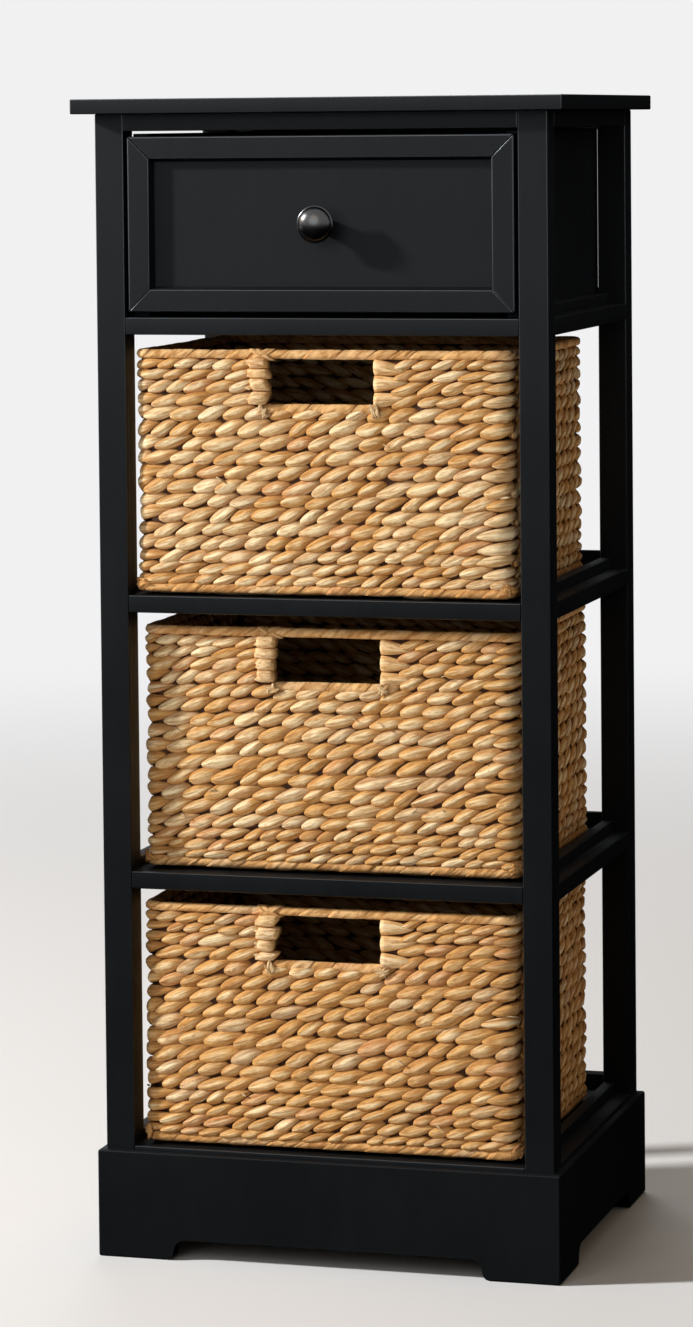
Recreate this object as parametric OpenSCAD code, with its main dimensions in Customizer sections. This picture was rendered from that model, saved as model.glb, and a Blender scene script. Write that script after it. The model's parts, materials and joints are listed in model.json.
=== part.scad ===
// Bathroom storage tower: an open post-and-rail frame with one drawer and three woven baskets.
// X runs to the right, Y to the back and Z up. The origin is on the floor, under the middle of the tower.

/* [Frame] */
// Width over the outer faces of the posts
body_w = 374; // [350:1:420]
// Depth over the outer faces of the posts
body_d = 305; // [290:1:360]
// Side of the square posts
post_w = 24; // [22:1:28]
// Chamfer that eases every painted edge
ease = 0.8; // [0.4:0.1:1.2]

/* [Top] */
// Thickness of the top panel
top_t = 12; // [10:1:20]
// Overhang of the top past the posts at each side
top_side_over = 15.5; // [8:0.5:25]
// Overhang of the top past the front posts
top_front_over = 16; // [8:0.5:25]
// Overhang of the top past the back posts
top_back_over = 8; // [0:0.5:16]

/* [Rails and shelves] */
// Height of every rail above the skirt
rail_h = 14; // [13:0.5:18]
// Thickness of the rails, from the outer face inwards
rail_t = 14; // [14:0.5:18]
// Clear height of each basket bay
bay_h = 210.5; // [190:0.5:240]
// Clear height of the drawer opening
drawer_open = 149.5; // [130:0.5:180]
// Thickness of the shelf panels
panel_t = 9; // [6:0.5:9]
// Width of the ledge that carries a shelf panel
ledge_w = 6; // [5:0.5:7]
// Gap round each shelf panel in its seat
panel_gap = 0.3; // [0.2:0.1:0.5]
// Height of the side guides above the shelf
guide_h = 9; // [6:0.5:12]
// Height of the back stop above the shelf
stop_h = 13; // [10:0.5:16]

/* [Skirt] */
// Height of the skirt boards
skirt_h = 87.5; // [75:0.5:110]
// Thickness of the skirt boards
skirt_t = 14; // [12:0.5:16]
// How far the skirt stands proud of the posts
skirt_proud = 6; // [4:0.5:8]
// Easing of the skirt's outer edges
skirt_ease = 1.5; // [0.8:0.1:3]
// Height of the bottom rail's face above the skirt
base_lip = 3.5; // [3:0.5:6]
// Height of the bottom rails
base_rail_h = 28; // [26:1:34]
// Thickness of the bottom rails
base_rail_t = 20; // [20:0.5:22]
// Length of each bracket foot along the floor
foot_len = 57; // [40:1:70]
// Height of the arch between the feet
arch_h = 17; // [15:0.5:24]
// Radius of the arch's upper corner
arch_r = 10; // [8:0.5:12]

/* [Drawer] */
// Gap between the drawer front and the posts
front_side_gap = 3; // [2:0.5:5]
// Gap above and below the drawer front
front_gap = 4.25; // [3:0.25:6]
// Thickness of the drawer front's panel
front_t = 12; // [10:0.5:14]
// Thickness of the mitred moulding on the drawer front
mould_t = 8; // [6:0.5:10]
// Width of the moulding's flat face
mould_w = 18; // [14:0.5:24]
// Width of the bevel inside the moulding
bevel_w = 2.4; // [1.5:0.1:4]
// Gap between two mitred ends
mitre_gap = 0.4; // [0.2:0.1:0.8]
// Gap between the drawer's sides and the guides
drawer_side_gap = 2; // [1:0.5:3]
// Gap above the drawer's sides
drawer_top_gap = 2; // [1:0.5:4]
// Gap behind the closed drawer
drawer_rear_gap = 7; // [4:0.5:20]
// Running gap under the drawer and the baskets
slide_gap = 0.3; // [0.2:0.1:0.5]
// Thickness of the drawer's sides and back
box_t = 12; // [10:0.5:14]
// Thickness of the drawer's bottom
bottom_t = 5; // [4:0.5:6]
// Height of the bottom's groove above the drawer's lower edge
groove_up = 10; // [8:0.5:14]
// Depth of the grooves that hold the bottom
groove_in = 5; // [3:0.5:6]

/* [Top back rail] */
// How far its lower edge bows down in the middle
bow_h = 2.4; // [0.5:0.1:3]
// Length of the bow's taper at each end
bow_run = 60; // [30:5:100]

/* [Knob] */
// Diameter of the knob
knob_d = 30; // [24:1:36]
// Reach of the knob from the drawer's panel
knob_reach = 26; // [22:1:32]
// Diameter of the knob's foot
stem_d = 15; // [12:0.5:18]
// Diameter of the knob's screw
knob_screw_d = 4; // [3:0.5:5]
// Depth of the screw's hole in the knob
knob_hole = 12; // [8:0.5:14]
// Room past the screw's end in the knob
knob_screw_room = 1; // [0.5:0.5:2]
// Height of the knob's foot
knob_foot_h = 1.2; // [0.8:0.1:2]
// Height of the knob's waist above the panel
knob_waist_h = 3; // [2:0.5:4]
// Width of the bead round the knob
knob_bead = 1.4; // [1:0.1:2]

/* [Baskets] */
// Gap between a basket and the guides at each side
basket_gap = 5; // [3:0.5:10]
// Room above a basket
basket_room = 11.5; // [10:0.5:30]
// Room between the baskets and the back stops
basket_rear_gap = 36; // [20:1:45]
// Radius of a basket's outer corners
basket_r = 12; // [10:0.5:16]
// Thickness of the woven walls
weave_t = 8; // [7:0.5:9]
// Height of one woven row, rounded to whole rows
row_h = 10.6; // [9:0.1:14]
// Depth of the groove between two woven rows
row_notch = 1.4; // [0.8:0.1:2]
// Thickness of the woven floor
floor_t = 6; // [4:0.5:8]
// Diameter of the wrapped top rim
rim_d = 9; // [8:0.5:11]
// Diameter of the wrapped base rim
base_rim_d = 8; // [7:0.5:10]
// How far the woven floor hangs below the base rim
floor_hang = 3; // [1:0.5:5]
// Width of the opening in the handle
handle_w = 86; // [70:1:110]
// Height of the opening in the handle
handle_h = 34; // [28:1:45]
// Width of the wrapping at each side of the handle
wrap_w = 17; // [12:0.5:20]
// How far the wrapping stands proud of the weave
wrap_proud = 1; // [0.5:0.5:2]
// Set-back of the lower basket from the front
lower_back = 8; // [0:1:25]
// Set-back of the middle basket from the front
middle_back = 16; // [0:1:25]
// Set-back of the upper basket from the front
upper_back = 3; // [0:1:25]

/* [Joinery] */
// Diameter of the dowels
dowel_d = 5; // [4:0.5:6]
// Depth of a dowel in each of its two pieces
dowel_in = 10; // [8:0.5:11]
// Gap round a dowel or a screw
fit_gap = 0.1; // [0.05:0.05:0.2]
// Diameter of the top's screws
screw_d = 3.5; // [3:0.5:4]
// Diameter of the screws' heads
screw_head_d = 7; // [6:0.5:8]
// Height of the screws' heads
screw_head_h = 3; // [2:0.5:3]
// Length of the top's screws
screw_len = 20; // [16:1:22]
// Wood left past a dowel's end in the drawer's boards
dowel_skin = 4; // [3:0.5:5]
// Gap between two dowels that cross in a bottom corner
dowel_apart = 3; // [2:0.5:4]

/* [Hidden] */
$fn = 48;

paint = "#1d1e20";
steel = "#b8babd";
beech = "#cdb083";
bronze = "#2b2a2a";
straw = "#d2a468";
cord = "#c9954f";

// Levels count from the floor: three basket shelves, the drawer's shelf and the top rails
LOWER = 0;
MIDDLE = 1;
UPPER = 2;
DRAWER = 3;
TOP = 4;

// How far a cutter runs past the face that it cuts
over = 1;

// Main heights
base_z = skirt_h + base_lip;
pitch = rail_h + bay_h;
top_rail_z = base_z + DRAWER * pitch + drawer_open;
frame_h = top_rail_z + rail_h;
function shelf_z(level) = level == TOP ? frame_h : base_z + level * pitch;
function level_h(level) = level == LOWER ? base_rail_h : rail_h;
function level_t(level) = level == LOWER ? base_rail_t : rail_t;
function shelf_span(level) = 2 * (level_t(level) - ledge_w + panel_gap);

// Main depths: y_front is the posts' front plane
knob_proud = knob_reach - mould_t;
front_reach = max(knob_proud, top_front_over);
y_front = (front_reach - body_d - top_back_over) / 2;
y_back = y_front + body_d;
y_mid = (y_front + y_back) / 2;
rail_len_x = body_w - 2 * post_w;
rail_len_y = body_d - 2 * post_w;
rebate = skirt_t - skirt_proud;

// A dowel's axis lies this far in from the outer face, clear of the rail's rebates
function dowel_inset(level) =
    level == TOP ? rail_t / 2 : level == LOWER ? (rebate + base_rail_t) / 2 : (rail_t - ledge_w) / 2;
// In the bottom rails the dowels of two neighbours pass one above the other
function dowel_step(level) = level == LOWER ? (dowel_d + dowel_apart) / 2 : 0;
function dowel_mid(level) =
    level == LOWER ? base_z - (base_rail_h + panel_t) / 2 : shelf_z(level) - rail_h / 2;

module eased_square(w, h, e) {
    polygon([
        [e, 0], [w - e, 0], [w, e], [w, h - e],
        [w - e, h], [e, h], [0, h - e], [0, e]
    ]);
}

// A board with all twelve edges eased, its lowest corner at the origin
module eased_box(size, e = ease) {
    intersection() {
        linear_extrude(size.z) eased_square(size.x, size.y, e);
        translate([0, size.y, 0]) rotate([90, 0, 0])
            linear_extrude(size.y) eased_square(size.x, size.z, e);
        rotate([90, 0, 90]) linear_extrude(size.x) eased_square(size.y, size.z, e);
    }
}

// The other side's or the other end's copy of a piece
module side_copy(right) {
    mirror([right ? 1 : 0, 0, 0]) children();
}
module end_copy(back) {
    translate([0, y_mid, 0]) mirror([0, back ? 1 : 0, 0]) translate([0, -y_mid, 0]) children();
}

// A dowel along +X or +Y from its point, both halves in one
module dowel_x(gap = 0) {
    rotate([0, 90, 0])
        cylinder(d = dowel_d + 2 * gap, h = 2 * (dowel_in + 2 * gap), center = true);
}
module dowel_y(gap = 0) {
    rotate([90, 0, 0])
        cylinder(d = dowel_d + 2 * gap, h = 2 * (dowel_in + 2 * gap), center = true);
}

// Dowels where the front-left post meets the front rail and the left rail of each level
module corner_dowels(gap = 0) {
    for (level = [LOWER:TOP]) {
        translate([
            -body_w / 2 + post_w,
            y_front + dowel_inset(level),
            dowel_mid(level) - dowel_step(level)
        ])
            dowel_x(gap);
        translate([
            -body_w / 2 + dowel_inset(level),
            y_front + post_w,
            dowel_mid(level) + dowel_step(level)
        ])
            dowel_y(gap);
    }
}

module rail_dowels() {
    color(beech)
        for (right = [false, true], back = [false, true])
            side_copy(right) end_copy(back) corner_dowels();
}

// Post, modelled at the front left, with the rebate that seats the skirt boards
module post(right, back) {
    color(paint) side_copy(right) end_copy(back)
        difference() {
            translate([-body_w / 2, y_front, 0]) eased_box([post_w, post_w, frame_h]);
            translate([-body_w / 2 - over, y_front - over, -over]) {
                cube([rebate + over, post_w + 2 * over, skirt_h + over]);
                cube([post_w + 2 * over, rebate + over, skirt_h + over]);
            }
            corner_dowels(fit_gap);
        }
}

// Rail's section and length at the front, before its ends are drilled
module front_rail_blank(level, rise) {
    low = shelf_z(level) - level_h(level);
    difference() {
        translate([-rail_len_x / 2, y_front, low])
            eased_box([rail_len_x, level_t(level), level_h(level) + rise]);
        if (level != TOP)
            translate([
                -rail_len_x / 2 - over,
                y_front + level_t(level) - ledge_w,
                shelf_z(level) - panel_t
            ])
                cube([rail_len_x + 2 * over, ledge_w + over, panel_t + rise + over]);
        if (level == LOWER)
            translate([-rail_len_x / 2 - over, y_front - over, low - over])
                cube([rail_len_x + 2 * over, rebate + over, skirt_h - low + over]);
    }
}

module left_rail_blank(level) {
    low = shelf_z(level) - level_h(level);
    difference() {
        translate([-body_w / 2, y_front + post_w, low])
            eased_box([level_t(level), rail_len_y, level_h(level)]);
        if (level != TOP)
            translate([
                -body_w / 2 + level_t(level) - ledge_w,
                y_front + post_w - over,
                shelf_z(level) - panel_t
            ])
                cube([ledge_w + over, rail_len_y + 2 * over, panel_t + over]);
        if (level == LOWER)
            translate([-body_w / 2 - over, y_front + post_w - over, low - over])
                cube([rebate + over, rail_len_y + 2 * over, skirt_h - low + over]);
    }
}

// Rear half of the top back rail, which bows down behind the drawer
module rail_bow() {
    half = rail_len_x / 2 - ease;
    translate([0, y_front + rail_t / 2, top_rail_z]) rotate([90, 0, 0])
        linear_extrude(rail_t / 2 - ease)
            polygon([
                [-half, 2 * ease], [-half, ease], [-half + bow_run, -bow_h],
                [half - bow_run, -bow_h], [half, ease], [half, 2 * ease]
            ]);
}

// Front and back rails differ in the stop that rises behind the shelf, and at the top in the bow
module front_rail(level, back = false) {
    rise = back && level != TOP ? stop_h : 0;
    color(paint) end_copy(back)
        difference() {
            union() {
                front_rail_blank(level, rise);
                if (back && level == TOP) rail_bow();
            }
            corner_dowels(fit_gap);
            side_copy(true) corner_dowels(fit_gap);
            if (level == TOP) long_screws(fit_gap);
        }
}

module side_rail(level, right) {
    color(paint) side_copy(right)
        difference() {
            left_rail_blank(level);
            corner_dowels(fit_gap);
            end_copy(true) corner_dowels(fit_gap);
            if (level == TOP) side_screw(fit_gap);
        }
}

// Shelf panel, lying on the rails' ledges and notched round the posts
module shelf_panel(level) {
    w = body_w - shelf_span(level);
    d = body_d - shelf_span(level);
    notch = post_w + panel_gap;
    color(paint)
        difference() {
            translate([-w / 2, y_mid - d / 2, shelf_z(level) - panel_t])
                cube([w, d, panel_t]);
            for (right = [false, true], back = [false, true])
                side_copy(right) end_copy(back)
                    translate([
                        -body_w / 2 - over,
                        y_front - over,
                        shelf_z(level) - panel_t - over
                    ])
                        cube([notch + over, notch + over, panel_t + 2 * over]);
        }
}

// Pair of strips on the shelf that keep the basket or the drawer off the side rails
module guides(level) {
    guide_w = post_w - rail_t;
    color(paint)
        for (right = [false, true])
            side_copy(right)
                translate([-body_w / 2 + rail_t, y_front + post_w, shelf_z(level)])
                    eased_box([guide_w, rail_len_y, guide_h]);
}

module top_panel() {
    w = body_w + 2 * top_side_over;
    d = body_d + top_front_over + top_back_over;
    color(paint)
        difference() {
            translate([-w / 2, y_front - top_front_over, frame_h]) eased_box([w, d, top_t]);
            top_screw_set(fit_gap);
        }
}

// Screw, head down, its tip up in the top panel; its hole also runs down through the rail's bow
module wood_screw(gap = 0) {
    below = gap > 0 ? bow_h + over : 0;
    translate([0, 0, -below]) cylinder(d = screw_head_d + 2 * gap, h = screw_head_h + below);
    cylinder(d = screw_d + 2 * gap, h = screw_len - screw_d + gap);
    translate([0, 0, screw_len - screw_d + gap])
        cylinder(d1 = screw_d + 2 * gap, d2 = screw_d / 3, h = screw_d);
}

// Two screws in the front rail, a fifth of its length from the ends
module long_screws(gap = 0) {
    for (right = [false, true])
        side_copy(right)
            translate([-rail_len_x * 0.3, y_front + rail_t / 2, top_rail_z]) wood_screw(gap);
}

module side_screw(gap = 0) {
    translate([-body_w / 2 + rail_t / 2, y_mid, top_rail_z]) wood_screw(gap);
}

module top_screw_set(gap = 0) {
    for (back = [false, true]) end_copy(back) long_screws(gap);
    for (right = [false, true]) side_copy(right) side_screw(gap);
}

module top_screws() {
    color(steel) top_screw_set();
}

// Outline of a skirt board, seen from outside: bracket feet with an ogee edge and a flat arch between
module skirt_outline(len) {
    toe_r = arch_h - arch_r;
    difference() {
        translate([-len / 2, 0]) square([len, skirt_h]);
        difference() {
            translate([-len / 2 + foot_len, -over]) square([len - 2 * foot_len, arch_h + over]);
            for (end = [0, 1]) mirror([end, 0]) translate([-len / 2 + foot_len, 0]) {
                // round toe of the foot, then the hollow corner of the arch
                translate([0, toe_r]) round_toe(toe_r);
                translate([toe_r, toe_r]) hollow_corner(arch_r);
                translate([0, toe_r]) square([toe_r, arch_h - toe_r]);
            }
        }
    }
}

module round_toe(r) {
    intersection() {
        circle(r);
        translate([0, -r]) square(r);
    }
}

module hollow_corner(r) {
    difference() {
        square(r);
        translate([r, 0]) circle(r);
    }
}

// Board along the front, its ends mitred to the side boards
module skirt_board(len) {
    difference() {
        translate([0, skirt_t, 0]) rotate([90, 0, 0]) linear_extrude(skirt_t) skirt_outline(len);
        for (right = [false, true])
            side_copy(right)
                translate([-len / 2, 0, -over]) rotate([0, 0, 45])
                    translate([-2 * skirt_t, 0, 0])
                        cube([4 * skirt_t, 2 * skirt_t, skirt_h + 2 * over]);
    }
}

// The space of the whole skirt, which eases the outer edges of its four boards
module skirt_block() {
    w = body_w + 2 * skirt_proud;
    d = body_d + 2 * skirt_proud;
    translate([-w / 2, y_mid - d / 2, 0]) eased_box([w, d, skirt_h], skirt_ease);
}

module front_skirt(back) {
    color(paint) end_copy(back)
        intersection() {
            translate([0, y_front - skirt_proud, 0]) skirt_board(body_w + 2 * skirt_proud);
            skirt_block();
        }
}

module side_skirt(right) {
    color(paint) side_copy(right)
        intersection() {
            translate([-body_w / 2 - skirt_proud, y_mid, 0]) rotate([0, 0, -90])
                skirt_board(body_d + 2 * skirt_proud);
            skirt_block();
        }
}

// Drawer sizes
front_w = rail_len_x - 2 * front_side_gap;
front_h = drawer_open - 2 * front_gap;
front_z = shelf_z(DRAWER) + front_gap;
panel_y = y_front + mould_t;
box_y = panel_y + front_t;
box_w = rail_len_x - 2 * drawer_side_gap;
box_z = shelf_z(DRAWER) + slide_gap;
box_top = top_rail_z - drawer_top_gap;
box_back = y_back - (rail_t - ledge_w) - drawer_rear_gap;
groove_z = box_z + groove_up;
knob_z = front_z + front_h / 2;

// Two dowels join each side to the front and two join it to the back
module drawer_side_dowels(gap = 0) {
    for (part = [0.3, 0.75])
        translate([-box_w / 2, 0, box_z + part * (box_top - box_z)]) {
            translate([box_t / 2, box_y + dowel_in + gap, 0]) rotate([90, 0, 0])
                cylinder(d = dowel_d + 2 * gap, h = dowel_in + front_t - dowel_skin + 2 * gap);
            translate([dowel_skin - gap, box_back - box_t / 2, 0]) rotate([0, 90, 0])
                cylinder(d = dowel_d + 2 * gap, h = dowel_in + box_t - dowel_skin + 2 * gap);
        }
}

module drawer_dowels() {
    color(beech) for (right = [false, true]) side_copy(right) drawer_side_dowels();
}

// The drawer's bottom, let into the front and both sides
module bottom_board(gap = 0) {
    w = box_w - 2 * (box_t - groove_in) - 2 * panel_gap;
    y = box_y - groove_in + panel_gap;
    translate([-w / 2 - gap, y - gap, groove_z - gap])
        cube([w + 2 * gap, box_back - y + 2 * gap, bottom_t + 2 * gap]);
}

module drawer_bottom() {
    color(paint) bottom_board();
}

module drawer_panel() {
    color(paint)
        difference() {
            translate([-front_w / 2, panel_y, front_z]) cube([front_w, front_t, front_h]);
            bottom_board(fit_gap);
            for (right = [false, true]) side_copy(right) drawer_side_dowels(fit_gap);
            knob_screw_form(fit_gap);
        }
}

// Moulding along X from the origin, face to -Y, its foot down and its bevel up
module mould_profile() {
    polygon([
        [0, 0], [0, -mould_t + ease], [ease, -mould_t],
        [mould_w, -mould_t], [mould_w + bevel_w, 0]
    ]);
}

module moulding(len) {
    full = mould_w + bevel_w;
    cut = mitre_gap / sqrt(2);
    intersection() {
        translate([len / 2, 0, 0]) rotate([0, -90, 0]) linear_extrude(len) mould_profile();
        rotate([90, 0, 0]) linear_extrude(mould_t)
            polygon([
                [-len / 2 + cut, 0], [len / 2 - cut, 0],
                [len / 2 - full - cut, full], [-len / 2 + full + cut, full]
            ]);
    }
}

// One of the four mouldings, turned about the middle of the drawer front
module frame_piece(turn) {
    upright = turn % 180 == 90;
    len = upright ? front_h : front_w;
    reach = upright ? front_w : front_h;
    color(paint)
        translate([0, panel_y, knob_z]) rotate([0, turn, 0])
            translate([0, 0, -reach / 2]) moulding(len);
}

module drawer_side(right) {
    color(paint) side_copy(right)
        difference() {
            translate([-box_w / 2, box_y, box_z]) cube([box_t, box_back - box_y, box_top - box_z]);
            bottom_board(fit_gap);
            drawer_side_dowels(fit_gap);
        }
}

module drawer_back() {
    low = groove_z + bottom_t + fit_gap;
    w = box_w - 2 * box_t;
    color(paint)
        difference() {
            translate([-w / 2, box_back - box_t, low]) cube([w, box_t, box_top - low]);
            for (right = [false, true]) side_copy(right) drawer_side_dowels(fit_gap);
        }
}

// Machine screw from inside the drawer, through the panel and into the knob
module knob_screw_form(gap = 0) {
    head_h = knob_screw_d * 0.6;
    translate([0, box_y, knob_z]) rotate([90, 0, 0]) {
        cylinder(d = knob_screw_d + 2 * gap, h = front_t + knob_hole - knob_screw_room + gap);
        if (gap == 0) translate([0, 0, -head_h]) cylinder(d = 2 * knob_screw_d, h = head_h);
    }
}

module knob_screw() {
    color(steel) knob_screw_form();
}

// Turned knob: a flared foot, a waist, a bead at the widest place and a low dome
module knob() {
    r = knob_d / 2;
    foot_r = stem_d / 2;
    waist_r = foot_r * 0.9;
    bead = knob_bead;
    bead_y = knob_reach * 0.58;
    dome = knob_reach - bead_y;
    dome_r = r - bead * 0.7;
    color(bronze)
        translate([0, panel_y, knob_z]) rotate([90, 0, 0])
            difference() {
                rotate_extrude()
                    polygon(concat(
                        [[0, 0], [foot_r, 0], [foot_r, knob_foot_h], [waist_r, knob_waist_h]],
                        [for (a = [15:15:90])
                            [waist_r + (r - bead - waist_r) * (1 - cos(a)),
                             knob_waist_h + (bead_y - bead - knob_waist_h) * sin(a)]],
                        [for (a = [-60:30:60]) [r - bead / 2 + bead / 2 * cos(a), bead_y + bead / 2 * sin(a)]],
                        [for (a = [10:10:90]) [dome_r * cos(a), bead_y + dome * sin(a)]]
                    ));
                translate([0, 0, -over])
                    cylinder(d = knob_screw_d + 2 * fit_gap, h = knob_hole + over);
            }
}

// Basket sizes, and each basket's place on its shelf. The deepest seat settles one depth for all three
function set_back(level) = level == UPPER ? upper_back : level == MIDDLE ? middle_back : lower_back;
function basket_seat(level) = body_d - set_back(level) - (level_t(level) - ledge_w) - basket_rear_gap;
basket_w = rail_len_x - 2 * basket_gap;
basket_d = min([for (level = [LOWER:UPPER]) basket_seat(level)]);
basket_h = bay_h - basket_room - slide_gap;
rim_flat = rim_d * 0.36;
rim_low = basket_h - rim_d / 2 - rim_flat;
base_flat = base_rim_d * 0.4;
base_top = floor_hang + 2 * base_flat;
handle_low = basket_h - rim_d - handle_h;
module in_bay(level) {
    translate([0, y_front + set_back(level) + basket_d / 2, shelf_z(level) + slide_gap]) children();
}

module round_rect(w, d, r) {
    square([w - 2 * r, d], center = true);
    square([w, d - 2 * r], center = true);
    for (x = [-1, 1], y = [-1, 1]) translate([x * (w / 2 - r), y * (d / 2 - r)]) circle(r);
}

// Sweeps a section round a rectangle with round corners; the section's x points outwards
module swept_ring(w, d, r) {
    for (turn = [0, 180]) rotate([0, 0, turn]) {
        translate([w / 2, (d - 2 * r) / 2, 0]) rotate([90, 0, 0]) linear_extrude(d - 2 * r) children();
        translate([-(w - 2 * r) / 2, d / 2, 0]) rotate([90, 0, 90])
            linear_extrude(w - 2 * r) children();
        for (side = [0, 1])
            translate([side == 0 ? w / 2 - r : -w / 2 + r, d / 2 - r, 0])
                rotate([0, 0, side * 90])
                    rotate_extrude(angle = 90) translate([r, 0]) children();
    }
}

// Round cord, flattened where it lies on its neighbours
module cord_section(dia, below, above) {
    intersection() {
        circle(d = dia);
        translate([-dia, -below]) square([2 * dia, below + above]);
    }
}

// Section of a woven wall: rows with a groove between each two, on both faces
module wall_section(height) {
    rows = round(height / row_h);
    step = height / rows;
    face = weave_t / 2;
    groove = face - row_notch;
    function row_points(row) = [
        [groove, row * step], [face, (row + 0.25) * step], [face, (row + 0.75) * step]
    ];
    outer = [for (row = [0:rows - 1]) each row_points(row), [groove, height]];
    polygon(concat(outer, [for (i = [len(outer) - 1:-1:0]) [-outer[i].x, outer[i].y]]));
}

// Woven walls and floor in one, with the slot that the handle's wrapping lines
module basket_weave(level) {
    w = basket_w - weave_t;
    d = basket_d - weave_t;
    r = basket_r - weave_t / 2;
    slot_w = handle_w + 2 * wrap_w;
    // The floor hangs down inside the base rim
    floor_step = base_rim_d + 2 * ease;
    color(straw) in_bay(level)
        difference() {
            union() {
                translate([0, 0, base_top]) {
                    swept_ring(w, d, r) wall_section(rim_low - base_top);
                    linear_extrude(floor_t) round_rect(w, d, r);
                }
                linear_extrude(base_top)
                    round_rect(w - floor_step, d - floor_step, r - floor_step / 2);
                linear_extrude(floor_hang) round_rect(w, d, r);
            }
            translate([-slot_w / 2, -basket_d / 2 - over, handle_low - rim_d])
                cube([slot_w, weave_t + 2 * over, basket_h]);
        }
}

// Wrapped top rim, and the wrapped surround of the handle
module basket_rim(level) {
    w = basket_w - weave_t;
    d = basket_d - weave_t;
    r = basket_r - weave_t / 2;
    color(cord) in_bay(level) {
        translate([0, 0, basket_h - rim_d / 2]) swept_ring(w, d, r)
            cord_section(rim_d, rim_flat, rim_d / 2);
        for (right = [false, true])
            side_copy(right)
                translate([handle_w / 2, -basket_d / 2 - wrap_proud, handle_low - rim_d])
                    eased_box(
                        [wrap_w, weave_t + 2 * wrap_proud, rim_low - handle_low + rim_d],
                        2 * wrap_proud
                    );
        translate([-handle_w / 2, -d / 2, handle_low - rim_d / 2]) rotate([90, 0, 90])
            linear_extrude(handle_w) circle(d = rim_d);
    }
}

module basket_base_rim(level) {
    w = basket_w - base_rim_d;
    d = basket_d - base_rim_d;
    r = basket_r - base_rim_d / 2;
    color(cord) in_bay(level)
        translate([0, 0, floor_hang + base_flat]) swept_ring(w, d, r)
            cord_section(base_rim_d, base_flat, base_flat);
}

top_panel();
post(false, false);  // front_left_post
post(true, false);  // front_right_post
post(false, true);  // back_left_post
post(true, true);  // back_right_post
front_rail(TOP);  // top_front_rail
front_rail(TOP, true);  // top_back_rail
side_rail(TOP, false);  // top_left_rail
side_rail(TOP, true);  // top_right_rail
shelf_panel(DRAWER);  // drawer_shelf_panel
front_rail(DRAWER);  // drawer_shelf_front_rail
front_rail(DRAWER, true);  // drawer_shelf_back_rail
side_rail(DRAWER, false);  // drawer_shelf_left_rail
side_rail(DRAWER, true);  // drawer_shelf_right_rail
guides(DRAWER);  // drawer_shelf_guides
shelf_panel(UPPER);  // upper_shelf_panel
front_rail(UPPER);  // upper_shelf_front_rail
front_rail(UPPER, true);  // upper_shelf_back_rail
side_rail(UPPER, false);  // upper_shelf_left_rail
side_rail(UPPER, true);  // upper_shelf_right_rail
guides(UPPER);  // upper_shelf_guides
shelf_panel(MIDDLE);  // middle_shelf_panel
front_rail(MIDDLE);  // middle_shelf_front_rail
front_rail(MIDDLE, true);  // middle_shelf_back_rail
side_rail(MIDDLE, false);  // middle_shelf_left_rail
side_rail(MIDDLE, true);  // middle_shelf_right_rail
guides(MIDDLE);  // middle_shelf_guides
shelf_panel(LOWER);  // lower_shelf_panel
front_rail(LOWER);  // lower_shelf_front_rail
front_rail(LOWER, true);  // lower_shelf_back_rail
side_rail(LOWER, false);  // lower_shelf_left_rail
side_rail(LOWER, true);  // lower_shelf_right_rail
guides(LOWER);  // lower_shelf_guides
front_skirt(false);
front_skirt(true);  // back_skirt
side_skirt(false);  // left_skirt
side_skirt(true);  // right_skirt
rail_dowels();
top_screws();
drawer_panel();
frame_piece(0);  // drawer_frame_bottom
frame_piece(90);  // drawer_frame_left
frame_piece(180);  // drawer_frame_top
frame_piece(270);  // drawer_frame_right
drawer_side(false);  // drawer_left_side
drawer_side(true);  // drawer_right_side
drawer_back();
drawer_bottom();
drawer_dowels();
knob();
knob_screw();
basket_weave(UPPER);  // upper_basket_weave
basket_rim(UPPER);  // upper_basket_rim
basket_base_rim(UPPER);  // upper_basket_base_rim
basket_weave(MIDDLE);  // middle_basket_weave
basket_rim(MIDDLE);  // middle_basket_rim
basket_base_rim(MIDDLE);  // middle_basket_base_rim
basket_weave(LOWER);  // lower_basket_weave
basket_rim(LOWER);  // lower_basket_rim
basket_base_rim(LOWER);  // lower_basket_base_rim
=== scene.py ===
"""Looks of a storage tower: satin black wood, a dark metal knob and three woven baskets."""

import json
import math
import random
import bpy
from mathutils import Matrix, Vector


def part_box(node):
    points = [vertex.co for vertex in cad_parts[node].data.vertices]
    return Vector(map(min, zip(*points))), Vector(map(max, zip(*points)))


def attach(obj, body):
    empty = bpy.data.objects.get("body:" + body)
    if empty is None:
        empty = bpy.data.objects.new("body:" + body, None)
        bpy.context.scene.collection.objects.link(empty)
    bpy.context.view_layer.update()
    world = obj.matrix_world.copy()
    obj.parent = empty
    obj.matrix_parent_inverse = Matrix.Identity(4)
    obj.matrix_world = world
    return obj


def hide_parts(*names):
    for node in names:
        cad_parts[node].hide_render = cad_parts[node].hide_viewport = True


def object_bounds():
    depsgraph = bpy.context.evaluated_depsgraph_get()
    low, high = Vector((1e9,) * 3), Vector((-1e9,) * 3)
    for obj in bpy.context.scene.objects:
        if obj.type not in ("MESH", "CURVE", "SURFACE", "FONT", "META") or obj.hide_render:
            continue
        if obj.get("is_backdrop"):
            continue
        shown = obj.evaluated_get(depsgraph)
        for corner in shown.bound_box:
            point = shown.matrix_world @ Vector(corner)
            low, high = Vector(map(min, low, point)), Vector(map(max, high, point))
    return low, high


bl_info = {
    "name": "Storage tower looks",
    "version": (1, 0, 0),
    "blender": (4, 5, 0),
    "location": "3D View > Sidebar > Tower",
    "description": "Dresses the packed storage tower: painted wood, knob, woven baskets and stage",
    "category": "Object",
}

import bmesh
import bpy
from mathutils import Matrix, Vector

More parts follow.
